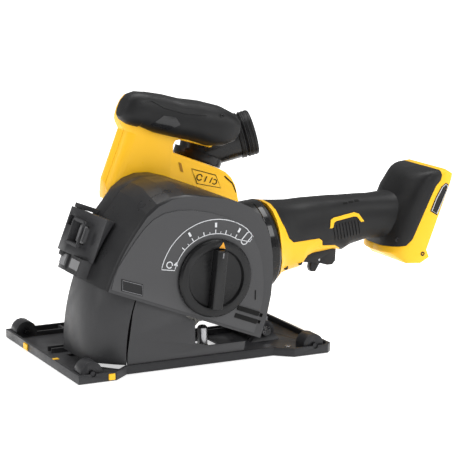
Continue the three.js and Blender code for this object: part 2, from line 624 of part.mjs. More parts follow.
// the outline with every side moved inwards by distance (drawn either way round)
function shrink(points, distance) {
  const turn = Math.sign(THREE.ShapeUtils.area(points.map(([x, y]) => new THREE.Vector2(x, y))));
  const at = (i) => new THREE.Vector2(...points[(i + points.length) % points.length]);
  return points.map((_, i) => {
    const into = at(i).sub(at(i - 1)).normalize();
    const out = at(i + 1).sub(at(i)).normalize();
    const inward = new THREE.Vector2(-into.y - out.y, into.x + out.x).multiplyScalar(turn);
    const reach = distance / (1 + into.dot(out));
    return at(i).addScaledVector(inward, reach).toArray();
  });
}

// how the foot rounds off towards each side: distance in, edge taken off, front pushed back
const FOOT_SIDES = [[0, 4, 17], [1.2, 1.2, 13.5], [4, 0, 10], [11, 0, 5], [20, 0, 1.5], [28, 0, 0]];

function footBlock(inset) {
  const [c, d] = [MOTOR_Y - footHalf + inset, MOTOR_Y + footHalf - inset];
  const ring = (y, [, edge, push]) => {
    const outline = [...FOOT_FRONT.map(([x, z]) => [x + push, z]), ...FOOT_REAR];
    return shrink(outline, inset + edge).map(([x, z]) => new THREE.Vector3(x, y, z));
  };
  const near = FOOT_SIDES.map((side) => ring(c + side[0], side));
  const far = FOOT_SIDES.map((side) => ring(d - side[0], side)).reverse();
  const [corner, rear] = [16, 372 - inset];
  const plan = [[250, c - 1], [rear - corner, c - 1], ...arc(rear - corner, c + corner, corner, -90, 0, 4),
    ...arc(rear - corner, d - corner, corner, 0, 90, 4), [rear - corner, d + 1], [250, d + 1]];
  return loft([...near, ...far]).intersect(plate(plan, -200, 300));
}

function handleBody(inset) {
  const grip = loft(between(HANDLE, 2).map((station) => section(...station, inset)));
  return join(grip, footBlock(inset));
}

const SKIN = 2.2;                                        // rubber over the plastic
const SKIN_GAP = 0.4;                                    // room left under the rubber
const BLACK_AREA = [[155, 80], [158, 30], [166, 8], [172, 2], [205, -0.5], [209, -4], [210, -9.5],
  [227, -13], [236, -19], [240, -40], [264, -40], [280, -25], [303, -24], [311, -18], [319, -5],
  [338, 26], [344, 35], [350, 40], [352, 45], [350, 56], [350, 80]];

// frame of the battery face: X out of the face, Z up along it
function onRearFace(solid) {
  const [x, z] = REAR.low;
  const lean = Math.atan2(REAR.high[0] - x, REAR.high[1] - z) * 180 / Math.PI;
  return solid.rotate([0, lean, 0]).translate([x, MOTOR_Y, z]);
}

const batterySlot = () => onRearFace(join(box(-17, 5, -27, 27, -30, 66), box(-17, -6, -31, 31, -30, 66)));

function housingShell() {
  const core = handleBody(SKIN + SKIN_GAP);
  const shell = join(handleBody(0).subtract(slab(BLACK_AREA, -60, 120)), core);
  const cavity = join(rod(26, SHOULDER - 2, 190, 'X', axisX, 28), box(189, 306, 14, 48, -9, 24));
  const slot = batterySlot();
  const triggerWay = box(187, 236, MOTOR_Y - 11, MOTOR_Y + 11, -50, -8);
  const bearing = rod(10.05, 186.5, 194.5, 'X', axisX, 24);
  const triggerPin = rod(1.5 + GAP / 2, MOTOR_Y - 16, MOTOR_Y + 16, 'Y', [191, 0, -19.5], 12);
  const bearingWall = rod(27, 188, 193, 'X', axisX, 24).subtract(bearing);
  return cut(join(cut(shell, cavity), bearingWall.intersect(core)), slot, triggerWay, triggerPin);
}

const housing = housingShell();

function overmold() {
  const area = slab(shrink(BLACK_AREA, GAP), -60, 120);
  const skin = handleBody(0).intersect(area);
  return cut(skin, handleBody(SKIN));
}

const nearSide = box(0, 420, -60, HALF - GAP / 2, -100, 120);
const farSide = box(0, 420, HALF + GAP / 2, 140, -100, 120);
add(motor, 'motor_housing_near', largest(housing.intersect(nearSide)), yellowPlastic);
add(motor, 'motor_housing_far', largest(housing.intersect(farSide)), yellowPlastic);
add(motor, 'handle_overmold', largest(overmold()), rubber);

function collar() {
  return turned([[45 + GAP, 112], [47, 112], [47, 148], [44, SHOULDER - GAP], [36, SHOULDER - GAP],
    [36, 130 + GAP], [45 + GAP, 130 + GAP], [45 + GAP, 112]], 'X', axisX, 40);
}

add(motor, 'motor_collar', collar(), blackPlastic);
add(motor, 'trigger_switch', box(198, 236, MOTOR_Y - 10, MOTOR_Y + 10, -7.5, 12), blackPlastic);
add(motor, 'motor_controller', box(246, 292, MOTOR_Y - 14, MOTOR_Y + 14, -6, 18), blackPlastic);
add(motor, 'battery_terminals', onRearFace(box(-16.6, -6, -17, 17, 10, 52)
  .subtract(join(...[-12, -4, 4, 12].map((y) => box(-20, -5, y - 1.5, y + 1.5, 5, 38))))), blackPlastic);

// ---------- trigger and lock-off lever ----------
const TRIGGER = { front: [191, -19.5], pin: [213, -28.6], half: 10 };

function trigger() {
  const paddle = [[187.5, -17], [187.5, -26], ...bend([187.5, -27], [210, -30], [222, -36], 4),
    [228, -36.5], [232, -33], [234, -19], [212, -16]];
  const body = slab(paddle, MOTOR_Y - TRIGGER.half, MOTOR_Y + TRIGGER.half, 1);
  const lever = box(198, 221, MOTOR_Y - 4 - GAP, MOTOR_Y + 4 + GAP, -60, -20);
  const pin = rod(1.5 + GAP / 2, -5, 70, 'Y', [TRIGGER.front[0], 0, TRIGGER.front[1]], 12);
  const leverPin = rod(1.5, -5, 70, 'Y', [TRIGGER.pin[0], 0, TRIGGER.pin[1]], 12);
  return cut(body, lever, pin, leverPin);
}

function lockOffLever() {
  const [x, z] = TRIGGER.pin;
  const outline = [[x + 4, z + 4], [x - 5, z + 4], [x - 9, z - 8], [x - 8, z - 12.5], [x - 3, z - 13.5],
    [x + 5, z - 3]];
  return slab(outline, MOTOR_Y - 4, MOTOR_Y + 4, 0.6)
    .subtract(rod(1.5 + GAP / 2, 0, 60, 'Y', [x, 0, z], 12));
}

add(motor, 'trigger', trigger(), blackPlastic);
add(motor, 'lock_off_lever', lockOffLever(), blackPlastic);
add(motor, 'lock_off_pin',
  rod(1.5 - GAP / 4, MOTOR_Y - 9, MOTOR_Y + 9, 'Y', [TRIGGER.pin[0], 0, TRIGGER.pin[1]], 12), steel);
add(motor, 'trigger_pin',
  rod(1.5, MOTOR_Y - 15, MOTOR_Y + 15, 'Y', [TRIGGER.front[0], 0, TRIGGER.front[1]], 12), steel);
add(motor, 'spindle_lock_button', turned([[0, 52.5], [3, 52.5], [3, 70], [6.5, 70.5], [6.5, 74],
  [0, 74]], 'Y', [LOCK_OFFSET, 0, 0], 16), blackPlastic);

// ---------- dust duct with the front handle ----------
const ARM = { rear: -146, head: 183, gripLow: 154, gripEnd: -92, gripTop: 186 };

function ductOutline() {
  const D = DUCT;
  return [
    [D.front + 8, 74], [D.front, 92], [D.front, 145], ...bend([D.front, 145], [-206, 152], [-206, 164], 3),
    ...bend([-206, 164], [-205, 183], [-186, 184], 4), [ARM.gripEnd - 8, ARM.gripTop],
    ...bend([ARM.gripEnd - 8, ARM.gripTop], [ARM.gripEnd, 184], [ARM.gripEnd, 172], 3),
    [ARM.gripEnd - 10, 157], [-138, ARM.gripLow],
    ...bend([-138, ARM.gripLow], [-146, 152], [-140, D.top], 3), [-87, D.top],
    ...bend([-87, D.top], [-66, D.top], [-56, 122], 4), [D.rear, 112], [D.rear - 4, 98], [-86, 80],
    [-120, 62],
  ];
}

// the duct seen from above: a rounded front corner, and a front column that is narrower than the
// rest. The head over the grip's front end stands further forward than the column
function ductPlan(inset) {
  const outline = [[-180, 0], [-180, DUCT.near], ...bend([-180, DUCT.near], [-194, 6], [-197, 22], 5),
    [-197, 27], [-191, 32], [-158, 34], [-146, 42], [-128, 66], [-40, 66], [-40, 0]];
  const ring = (z, forward) => shrink(outline.map(([x, y]) => [x < -150 ? x - forward : x, y]), inset)
    .map(([x, y]) => new THREE.Vector3(x, y, z));
  return loft([ring(40, 0), ring(145, 0), ring(153, 9), ring(220, 9)]);
}

// the duct's full block, swollen by a clearance for the pieces that wrap it
function ductWhole(swell = 0) {
  const block = slab(shrink(ductOutline(), -swell), DUCT.near - swell, DUCT.far + swell, 2.5)
    .intersect(ductPlan(-swell));
  const gripTrim = join(box(-150, -80, 38 + swell, 80, 148, 200),
    box(-122 + swell, -80, 20 + swell, 80, 148, 200));
  const caseClear = rod(caseRadius + 1.5, -10, 90, 'Y', S, 32);
  const collarClear = rod(49, 100, 170, 'X', axisX, 32).rotate([0, -PLUNGE - MOTOR_SLOPE, 0]);
  return cut(block, gripTrim, caseClear, collarClear.translate(S));
}

function ductHousing() {
  const chamber = slab([[-186, 84], [-188, 134], [-70, 134], [-62, 118], [-62, 104], [-92, 88],
    [-128, 74]], DUCT.near + WALL, DUCT.far - WALL).intersect(ductPlan(WALL));
  const roof = rod(caseRadius + 5, -10, 90, 'Y', S, 32);
  const inlet = box(-180, -152, -5, DUCT.near + WALL + 3, 76, 86);
  const outlet = rod(ELBOW.seat - 8, 125, 150, 'Z', [ELBOW.u, ELBOW.y - 12, 0], 24);
  return cut(ductWhole(), chamber.subtract(roof), inlet, outlet);
}

// ---------- soft grip, wrapped over the handle bar ----------
// stations along the bar: distance, near side, far side, bottom, top
const GRIP_STATIONS = [
  [-207.5, 2, 21, 156, 175], [-204, -2, 25, 153, 181], [-198, -4.5, 28, 151, 185],
  [-188, -6, 31, 151, 187.5], [-186, -6, 35, 152, 188], [-170, -8, 38, 151, 191],
  [-150, -10, 41, 153, 193], [-130, -14, 40, 156, 197.5], [-110, -17, 31, 157, 199.5], [-96, -17, 24, 162, 197.5],
  [-87, -13, 18, 169, 193], [-83, -6, 11, 175, 187],
];

function gripBody() {
  return loft(GRIP_STATIONS.map(([u, near, far, low, high]) => arc(0, 0, 1, 0, 345, 23)
    .map(([c, s]) => new THREE.Vector3(u,
      (near + far) / 2 + Math.sign(c) * Math.abs(c) ** 0.75 * (far - near) / 2,
      (low + high) / 2 + Math.sign(s) * Math.abs(s) ** 0.75 * (high - low) / 2))));
}

const frontGrip = () => gripBody().subtract(ductWhole(GAP));

const duct = ductHousing();
const splitY = 16;
add(tool, 'duct_housing_near', duct.intersect(box(-260, 0, -60, splitY - GAP / 2, 0, 220)),
  yellowPlastic);
add(tool, 'duct_housing_far', duct.intersect(box(-260, 0, splitY + GAP / 2, 120, 0, 220)),
  yellowPlastic);
add(tool, 'front_grip', frontGrip(), rubber);

// ---------- swivelling dust elbow ----------
function elbow() {
  const E = ELBOW;
  const base = rod(E.seat, 0, 9, 'Z', [0, 0, 0], 28);
  const inner = E.radius - 3;
  const ball = turned([[0, -E.radius], ...arc(0, 0, E.radius, -90, 90, 10), [0, E.radius]], 'Z',
    [0, 0, E.bend], 28);
  const outlet = rod(E.radius, 0, E.reach, 'X', [0, 0, 0], 28).rotate([0, -E.rise, 0])
    .translate([0, 0, E.bend]);
  const bore = rod(inner, 0, E.reach + 1, 'X', [0, 0, 0], 28).rotate([0, -E.rise, 0])
    .translate([0, 0, E.bend]);
  const hollowBall = turned([[0, -inner], ...arc(0, 0, inner, -90, 90, 8), [0, inner]], 'Z',
    [0, 0, E.bend], 24);
  const below = box(-80, 80, -80, 80, -60, 0);
  const body = cut(join(base, ball, outlet), below, bore, hollowBall,
    rod(inner, -30, E.bend, 'Z', [0, 0, 0], 24));
  return body.rotate([0, 0, -E.swing]).translate([E.u, E.y, DUCT.top + GAP]);
}

// soft cuff on the elbow's outlet, with two raised rings, for the extractor hose
function dustCuff() {
  const E = ELBOW;
  const start = E.reach + GAP;
  const [wall, ring, low] = [E.radius - 3, E.radius + 1, E.radius - 0.8];
  const cuff = turned([[wall, start], [ring, start], [ring, start + 5], [low, start + 6],
    [low, start + 8], [ring, start + 9], [ring, start + 17], [ring - 1, start + 18],
    [wall, start + 18], [wall, start]], 'X', [0, 0, 0], 28);
  return cuff.rotate([0, -E.rise, 0]).translate([0, 0, E.bend]).rotate([0, 0, -E.swing])
    .translate([E.u, E.y, DUCT.top + GAP]);
}

add(tool, 'dust_elbow', elbow(), blackPlastic);
add(tool, 'dust_cuff', dustCuff(), rubber);

export default group;
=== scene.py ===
"""Looks of the battery wall chaser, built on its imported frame. Metres, +Z up."""

import json
import math

import bmesh
import bpy
from mathutils import Matrix, Vector
from mathutils.bvhtree import BVHTree

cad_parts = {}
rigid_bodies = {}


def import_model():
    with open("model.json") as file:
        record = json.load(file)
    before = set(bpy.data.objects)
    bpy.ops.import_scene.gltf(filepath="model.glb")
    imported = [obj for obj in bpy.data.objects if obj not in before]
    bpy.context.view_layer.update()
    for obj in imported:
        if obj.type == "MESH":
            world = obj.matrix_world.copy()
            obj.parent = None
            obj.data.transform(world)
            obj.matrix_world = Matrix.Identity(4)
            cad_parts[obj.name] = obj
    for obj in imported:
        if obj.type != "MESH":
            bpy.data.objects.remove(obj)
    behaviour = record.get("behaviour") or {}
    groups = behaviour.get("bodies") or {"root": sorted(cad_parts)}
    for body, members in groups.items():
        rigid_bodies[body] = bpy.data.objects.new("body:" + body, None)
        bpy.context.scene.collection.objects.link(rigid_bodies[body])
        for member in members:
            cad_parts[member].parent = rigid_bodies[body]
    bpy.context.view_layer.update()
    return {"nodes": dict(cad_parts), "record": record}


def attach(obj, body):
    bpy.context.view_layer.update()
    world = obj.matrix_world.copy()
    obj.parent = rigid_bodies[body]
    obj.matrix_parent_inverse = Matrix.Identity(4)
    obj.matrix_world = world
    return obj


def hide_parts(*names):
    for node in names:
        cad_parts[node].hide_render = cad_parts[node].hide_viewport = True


for left in list(bpy.data.objects):
    bpy.data.objects.remove(left)

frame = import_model()
MM = 0.001


# ---------- camera and light ----------
def put_camera():
    data = bpy.data.cameras.new("camera")
    data.lens = 146.15
    data.sensor_width = 36
    data.clip_end = 50
    cam = bpy.data.objects.new("camera", data)
    bpy.context.scene.collection.objects.link(cam)
    cam.location = (-0.8607, -1.7140, 0.4918)
    cam.rotation_euler = (math.radians(78.6), 0, math.radians(-26.3))
    bpy.context.scene.camera = cam


def area_light(name, place, aim, size, watts):
    data = bpy.data.lights.new(name, "AREA")
    data.shape = "RECTANGLE"
    data.size, data.size_y = size
    data.energy = watts
    lamp = bpy.data.objects.new(name, data)
    bpy.context.scene.collection.objects.link(lamp)
    lamp.location = place
    to = Vector(aim) - Vector(place)
    lamp.rotation_euler = to.to_track_quat("-Z", "Y").to_euler()


put_camera()
bpy.context.scene.view_settings.view_transform = "Standard"


def studio_world():
    """White to look at, softer as a light."""
    world = bpy.data.worlds.new("studio")
    world.use_nodes = True
    nodes, links = world.node_tree.nodes, world.node_tree.links
    back = nodes["Background"]
    back.inputs["Color"].default_value = (1, 1, 1, 1)
    seen = nodes.new("ShaderNodeLightPath").outputs["Is Camera Ray"]
    level = nodes.new("ShaderNodeMapRange")
    level.inputs["To Min"].default_value = 0.28
    level.inputs["To Max"].default_value = 1.0
    links.new(seen, level.inputs["Value"])
    links.new(level.outputs["Result"], back.inputs["Strength"])
    bpy.context.scene.world = world


studio_world()
area_light("key", (0.5, -1.5, 1.3), (-0.05, 0, 0.1), (0.9, 0.9), 15)
area_light("left", (-1.5, 0.1, 0.9), (-0.1, 0, 0.12), (0.5, 1.0), 8)
area_light("top", (0.15, 0.35, 1.6), (0, 0, 0.1), (1.5, 0.8), 20)
area_light("side", (1.5, -0.9, 0.8), (0.1, 0, 0.1), (0.5, 1.2), 8)


# ---------- materials ----------
def surface(name, color, rough, metal=0.0, grain=2200, bump=0.12, mottle=0.06, wear=0.0,
            streak=None, coat=0.0, spread=0.10, shine=0.25):
    """Plastic, rubber, paint or metal with a fine grain, uneven sheen and worn edges."""
    mat = bpy.data.materials.new(name)
    mat.use_nodes = True
    nodes, links = mat.node_tree.nodes, mat.node_tree.links
    shader = nodes["Principled BSDF"]
    shader.inputs["Metallic"].default_value = metal
    shader.inputs["Coat Weight"].default_value = coat
    shader.inputs["Specular IOR Level"].default_value = shine
    place = nodes.new("ShaderNodeTexCoord").outputs["Object"]
    if streak:
        turn = nodes.new("ShaderNodeMapping")
        turn.inputs["Scale"].default_value = streak
        links.new(place, turn.inputs["Vector"])
        fine_place = turn.outputs["Vector"]
    else:
        fine_place = place
    fine = nodes.new("ShaderNodeTexNoise")
    fine.inputs["Scale"].default_value = grain
    fine.inputs["Detail"].default_value = 3
    links.new(fine_place, fine.inputs["Vector"])
    broad = nodes.new("ShaderNodeTexNoise")
    broad.inputs["Scale"].default_value = 45
    broad.inputs["Detail"].default_value = 5
    links.new(place, broad.inputs["Vector"])
    sheen = nodes.new("ShaderNodeMapRange")
    sheen.inputs["From Min"].default_value = 0.3
    sheen.inputs["From Max"].default_value = 0.7
    sheen.inputs["To Min"].default_value = max(0.02, rough - spread)
    sheen.inputs["To Max"].default_value = min(1.0, rough + spread)
    links.new(broad.outputs["Fac"], sheen.inputs["Value"])
    links.new(sheen.outputs["Result"], shader.inputs["Roughness"])
    tone = nodes.new("ShaderNodeMix")
    tone.data_type = "RGBA"
    tone.inputs["A"].default_value = (*[c * (1 - mottle) for c in color], 1)
    tone.inputs["B"].default_value = (*[min(1, c * (1 + mottle)) for c in color], 1)
    links.new(broad.outputs["Fac"], tone.inputs["Factor"])
    paint = tone.outputs["Result"]
    if wear:
        edge = nodes.new("ShaderNodeNewGeometry")
        ramp = nodes.new("ShaderNodeMapRange")
        ramp.inputs["From Min"].default_value = 0.53
        ramp.inputs["From Max"].default_value = 0.66
        ramp.inputs["To Max"].default_value = wear
        links.new(edge.outputs["Pointiness"], ramp.inputs["Value"])
        worn = nodes.new("ShaderNodeMix")
        worn.data_type = "RGBA"
        worn.inputs["B"].default_value = (*[min(1, c * 1.6 + 0.05) for c in color], 1)
        links.new(ramp.outputs["Result"], worn.inputs["Factor"])
        links.new(paint, worn.inputs["A"])
        paint = worn.outputs["Result"]
    links.new(paint, shader.inputs["Base Color"])
    if bump:
        relief = nodes.new("ShaderNodeBump")
        relief.inputs["Strength"].default_value = bump
        relief.inputs["Distance"].default_value = 0.0003
        links.new(fine.outputs["Fac"], relief.inputs["Height"])
        links.new(relief.outputs["Normal"], shader.inputs["Normal"])
    return mat


LOOK = {
    "tool_yellow": surface("yellow_plastic", (0.97, 0.53, 0.018), 0.36, grain=1800, bump=0.10,
                           mottle=0.03, wear=0.12),
    "guard_grey": surface("guard_paint", (0.046, 0.046, 0.048), 0.40, grain=1500, bump=0.22,
                          mottle=0.08, wear=0.25),
    "shoe_grey": surface("shoe_paint", (0.024, 0.024, 0.026), 0.38, grain=1300, bump=0.22,
                         mottle=0.10, wear=0.35),
    "black_rubber": surface("soft_rubber", (0.0085, 0.0085, 0.009), 0.48, grain=1400, bump=0.35,
                            mottle=0.12, wear=0.10),
    "black_plastic": surface("black_nylon", (0.0085, 0.0085, 0.009), 0.30, grain=1600, bump=0.20,
                             mottle=0.10, wear=0.15),
    "steel": surface("machined_steel", (0.42, 0.42, 0.43), 0.30, metal=1, grain=900, bump=0.06,
                     streak=(1, 8, 1), wear=0.2),
    "alloy": surface("cast_alloy", (0.16, 0.16, 0.17), 0.46, metal=0.7, grain=1100, bump=0.25,
                     mottle=0.12, wear=0.3),
    "copper": surface("copper_winding", (0.50, 0.20, 0.09), 0.38, metal=1, grain=700, bump=0.3),
    "diamond_steel": surface("diamond_grit", (0.34, 0.33, 0.31), 0.55, metal=0.8, grain=2600,
                             bump=0.5, mottle=0.2),
}
DARK_STEEL = surface("blackened_steel", (0.03, 0.03, 0.032), 0.4, metal=0.6, bump=0.1)
# A darker copy of the guard paint: painted shade for the guard's sides, chamfers and top, which
# face away from the flat face.
GUARD_SHADED_SIDES = surface("guard_paint_painted_shade", (0.020, 0.020, 0.021), 0.34, grain=1500, bump=0.18,
                     mottle=0.08, wear=0.3)
LATCH_GREY = surface("latch_nylon", (0.030, 0.030, 0.032), 0.34, bump=0.18, wear=0.3)
LUG_GREY = surface("lug_alloy", (0.22, 0.22, 0.225), 0.42, metal=0.3, bump=0.2, wear=0.2)
GLOSS_BLACK = surface("gloss_black", (0.010, 0.010, 0.011), 0.16, grain=900, bump=0.03,
                      coat=0.3, spread=0.05)
INK_WHITE = surface("ink_white", (0.62, 0.63, 0.65), 0.5, bump=0.08)
INK_GREY = surface("ink_grey", (0.20, 0.20, 0.21), 0.5, bump=0.08)
INK_ORANGE = surface("ink_orange", (0.90, 0.40, 0.03), 0.45, bump=0.08)
# Orange-brown painted shadow, for the shade inside the duct's recess.
PAINTED_SHADOW_ORANGE = surface("painted_shadow_orange", (0.42, 0.19, 0.01), 0.5, bump=0.1)
# Near-black for printed lines and symbols, and painted shadow standing in for slots and grooves.
BLACK_INK_AND_SHADOW = surface("black_ink_and_painted_shadow", (0.004, 0.004, 0.004), 0.8, bump=0.1)
LABEL_BLACK = surface("label_black", (0.006, 0.006, 0.007), 0.25, bump=0.05, spread=0.06)

# ---------- frames of the tilted groups ----------
LEAN = 21.35                 # degrees the tool leans at rest
MOTOR_TURN = 26.35           # degrees from the tool's own line to the motor axis
MOTOR_Y = 31                 # the motor axis, millimetres to the far side
RAY_START = 0.4              # metres out to the side, clear of the tool
TOOL = Matrix.Translation((0, 0, 14 * MM)) @ Matrix.Rotation(math.radians(LEAN), 4, "Y")
MOTOR = (TOOL @ Matrix.Translation((-132 * MM, 0, 14.5 * MM))
         @ Matrix.Rotation(-math.radians(MOTOR_TURN), 4, "Y"))
LEVEL = Matrix.Identity(4)

BODY_OF = {n: b for b, members in frame["record"]["behaviour"]["bodies"].items()
           for n in members}
SLOT_OF = {s["node"]: s["material_slot"] for s in frame["record"]["subparts"]}


def mesh_object(name, bm, mat, body, angle=40):
    """A new piece from bm, smooth up to angle, riding on body."""
    mesh = bpy.data.meshes.new(name)
    bmesh.ops.recalc_face_normals(bm, faces=bm.faces)
    bm.to_mesh(mesh)
    bm.free()
    mesh.materials.append(mat)
    mesh.shade_smooth()
    mesh.set_sharp_from_angle(angle=math.radians(angle))
    obj = bpy.data.objects.new(name, mesh)
    bpy.context.scene.collection.objects.link(obj)
    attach(obj, body)
    return obj


def freeze(obj, angle=40):
    """Applies obj's modifiers to its mesh."""
    graph = bpy.context.evaluated_depsgraph_get()
    made = bpy.data.meshes.new_from_object(obj.evaluated_get(graph))
    obj.modifiers.clear()
    obj.data = made
    made.shade_smooth()
    made.set_sharp_from_angle(angle=math.radians(angle))


# ---------- every outer CAD node again, with rounded edges ----------
def refine(node, mat=None, bevel=0.5, angle=28):
    """Replaces a CAD node with the same shape, its sharp edges rounded by bevel."""
    bm = bmesh.new()
    bm.from_mesh(frame["nodes"][node].data)
    bmesh.ops.remove_doubles(bm, verts=bm.verts, dist=2e-5)
    bmesh.ops.dissolve_limit(bm, angle_limit=math.radians(0.8), verts=bm.verts, edges=bm.edges)
    obj = mesh_object(f"{node}_skin", bm, mat or LOOK[SLOT_OF[node]], BODY_OF[node])
    round_off = obj.modifiers.new("round", "BEVEL")
    round_off.width = bevel * MM
    round_off.segments = 2
    round_off.limit_method = "ANGLE"
    round_off.angle_limit = math.radians(angle)
    freeze(obj, 40 if angle > 20 else 16)
    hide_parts(node)
    return obj


def paint_shade_on_sides(obj, way=Vector((0, -1, 0))):
    """Painted shade: a darker, smoother copy of the guard paint on every face that isn't the flat
    face looking along way.
    """
    obj.data.materials.append(GUARD_SHADED_SIDES)
    for face in obj.data.polygons:
        if face.normal.dot(way) < 0.985:
            face.material_index = 1


ROUNDED = {
    "base_shoe": 0.5, "depth_stop_post": 0.3, "lower_guard": 0.5, "lower_guard_side_plate": 0.4,
    "guard_back": 0.7, "depth_dial": 0.5, "duct_housing_near": 0.8,
    "duct_housing_far": 0.8, "front_grip": 0.8, "dust_elbow": 0.6, "dust_cuff": 0.5,
    "motor_housing_near": 0.5, "motor_housing_far": 0.5, "handle_overmold": 0.5,
    "gear_case": 0.7, "gear_case_cover": 0.7, "motor_collar": 0.6, "trigger": 0.5,
    "lock_off_lever": 0.3, "pivot_arm": 0.4, "battery_terminals": 0.2,
    "spindle_lock_button": 0.4,
}
PIECES = {node: refine(node, None, bevel) for node, bevel in ROUNDED.items()}
PIECES["latch_lever"] = refine("latch_lever", LATCH_GREY, 0.6)
PIECES["guard_cover"] = refine("guard_cover", None, 0.7, 14)
# Painted shade: faces of both guard pieces that don't look along -Y get the darker paint.
for guard_part in ("guard_cover", "guard_back"):
    paint_shade_on_sides(PIECES[guard_part])
for node, obj in frame["nodes"].items():
    if not obj.hide_render:
        obj.data.materials.clear()
        obj.data.materials.append(DARK_STEEL if "axle" in node else LOOK[SLOT_OF[node]])


# ---------- raised print and trim laid on a surface ----------
def skin_of(*objs):
    """The surfaces of objs, to cast rays at."""
    verts, faces = [], []
    for obj in objs:
        start = len(verts)
        verts += [obj.matrix_world @ v.co for v in obj.data.vertices]
        faces += [[start + i for i in p.vertices] for p in obj.data.polygons]
    return BVHTree.FromPolygons(verts, faces)


def onto(bm, place, skin, lift, side=-1):
    """Drops the flat sheet bm (millimetres in X and Z of place) along Y onto skin."""
    way = Vector((0, -side, 0))
    for v in bm.verts:
        start = place @ (Vector((v.co.x, 0, v.co.z)) * MM)
        start.y = side * RAY_START
        hit, normal, _, _ = skin.ray_cast(start, way)
        if hit is None:
            hit, normal = Vector((start.x, 0, start.z)), -way
        if normal.dot(way) > 0:
            normal = -normal
        v.co = hit + normal * (lift * MM)


def sheet_of(outlines, step):
    """Flat faces of the outlines, split until no edge is longer than step."""
    bm = bmesh.new()
    for outline in outlines:
        bm.faces.new([bm.verts.new((a, 0, b)) for a, b in outline])
    if step:
        bmesh.ops.triangulate(bm, faces=bm.faces)
        for _ in range(6):
            long_edges = [e for e in bm.edges if e.calc_length() > step]
            if not long_edges:
                break
            bmesh.ops.subdivide_edges(bm, edges=long_edges, cuts=1)
            bmesh.ops.triangulate(bm, faces=[f for f in bm.faces if len(f.verts) > 3])
    return bm


def laid(name, outlines, place, skin, mat, body, lift=0.25, step=3.0, side=-1):
    """Thin trim with the given outlines, following the surface under it."""
    bm = sheet_of(outlines, step)
    onto(bm, place, skin, lift, side)
    obj = mesh_object(name, bm, mat, body)
    thick = obj.modifiers.new("thick", "SOLIDIFY")
    thick.thickness = (lift + 0.15) * MM
    thick.offset = -1
    freeze(obj)
    return obj


def stroke(points, width, closed=False):
    """A line of the given width as quads."""
    pts = [Vector(p) for p in points]
    count = len(pts)
    sides = []
    for i, p in enumerate(pts):
        a = pts[i - 1] if (closed or i) else pts[i]
        b = pts[(i + 1) % count] if (closed or i < count - 1) else pts[i]
        d = (b - a).normalized()
        n = Vector((-d.y, d.x)) * width / 2
        sides.append((p + n, p - n))
    last = count if closed else count - 1
    return [[tuple(sides[i][0]), tuple(sides[(i + 1) % count][0]),
             tuple(sides[(i + 1) % count][1]), tuple(sides[i][1])] for i in range(last)]


def ring_points(centre, radius, from_deg, to_deg, steps):
    """Points of an arc, both ends included."""
    turns = [math.radians(from_deg + (to_deg - from_deg) * i / steps) for i in range(steps + 1)]
    return [(centre[0] + radius * math.cos(a), centre[1] + radius * math.sin(a)) for a in turns]


# ---------- the guard cover's flat face, painted shadow of its vent slots, badge and printed scale ---
face_outline = [(-201, -2), (-202, 10), (-201.5, 20), (-198, 34), (-194, 48), (-189, 62),
                (-183, 73), (-174, 82), (-161, 89), (-145, 94), (-128, 96.5), (-108, 97),
                (-92, 94.5), (-76, 88), (-64, 77), (-55, 64), (-48, 50), (-43, 36), (-40, 20),
                (-39, -2)]
laid("cover_face", [face_outline], TOOL, skin_of(PIECES["guard_cover"]), LOOK["guard_grey"],
     "cover", 0.7, 0)
cover_skin = skin_of(PIECES["guard_cover"], bpy.data.objects["cover_face"])
# The two vent slots are painted shadow: near-black sheets laid flat on the cover.
slot_shadow_lines = stroke([(-66, 9.3), (-40, 9.3)], 4.6) + stroke([(-66, 17.2), (-41, 17.2)], 4.6)
laid("cover_slots_painted_shadow", slot_shadow_lines, TOOL, cover_skin, BLACK_INK_AND_SHADOW, "cover", 0.5, 0)
DIAL = (-101, 38)            # the dial's centre in the tool's frame


def polar(radius, world_deg):
    """A point round the dial, at an angle measured from the level."""
    a = math.radians(world_deg + LEAN)
    return (DIAL[0] + radius * math.cos(a), DIAL[1] + radius * math.sin(a))


def scale_print():
    """The scale's closed outline, its ticks and three wider marks."""
    frame_line = ([polar(57.5, 52 + 2.6 * i) for i in range(45)]
                  + [polar(43.5, 165 - 2.6 * i) for i in range(43)]
                  + [polar(50, 40), polar(56, 41)])
    marks = stroke(frame_line, 0.7, closed=True)
    for deg in (136, 128, 120, 112, 104, 96, 88, 81, 74, 66.5, 59):
        long = deg in (136, 120, 104, 88, 74, 59)
        tip, width = (47.5, 0.9) if long else (45.8, 0.6)
        marks += stroke([polar(43.5, deg), polar(tip, deg)], width)
    for deg in (120, 88, 59):
        marks += stroke([polar(49.8, deg), polar(54.3, deg)], 2.2)
    return marks


laid("dial_scale", scale_print(), TOOL, cover_skin, INK_WHITE, "cover", 0.12, 0)


def slot_symbol():
    """Rounded slot symbol at the end of the scale, a round one and an arrow at its start."""
    mid, out = polar(50, 46), Vector(polar(57, 46)) - Vector(polar(43, 46))
    out.normalize()
    side = Vector((-out.y, out.x))
    ring = []
    for i in range(28):
        a = 2 * math.pi * i / 28
        ring.append(tuple(Vector(mid) + side * 3.2 * math.cos(a)
                          + out * (3.2 * math.sin(a) + math.copysign(3.6, math.sin(a)))))
    marks = stroke(ring, 1.0, closed=True)
    start = Vector(polar(50.5, 160))
    marks += stroke(ring_points(start, 3.0, 0, 340, 18), 1.0)
    arrow = [polar(44.5, 154), polar(41.5, 158.5), polar(46.5, 159)]
    return marks + [arrow]


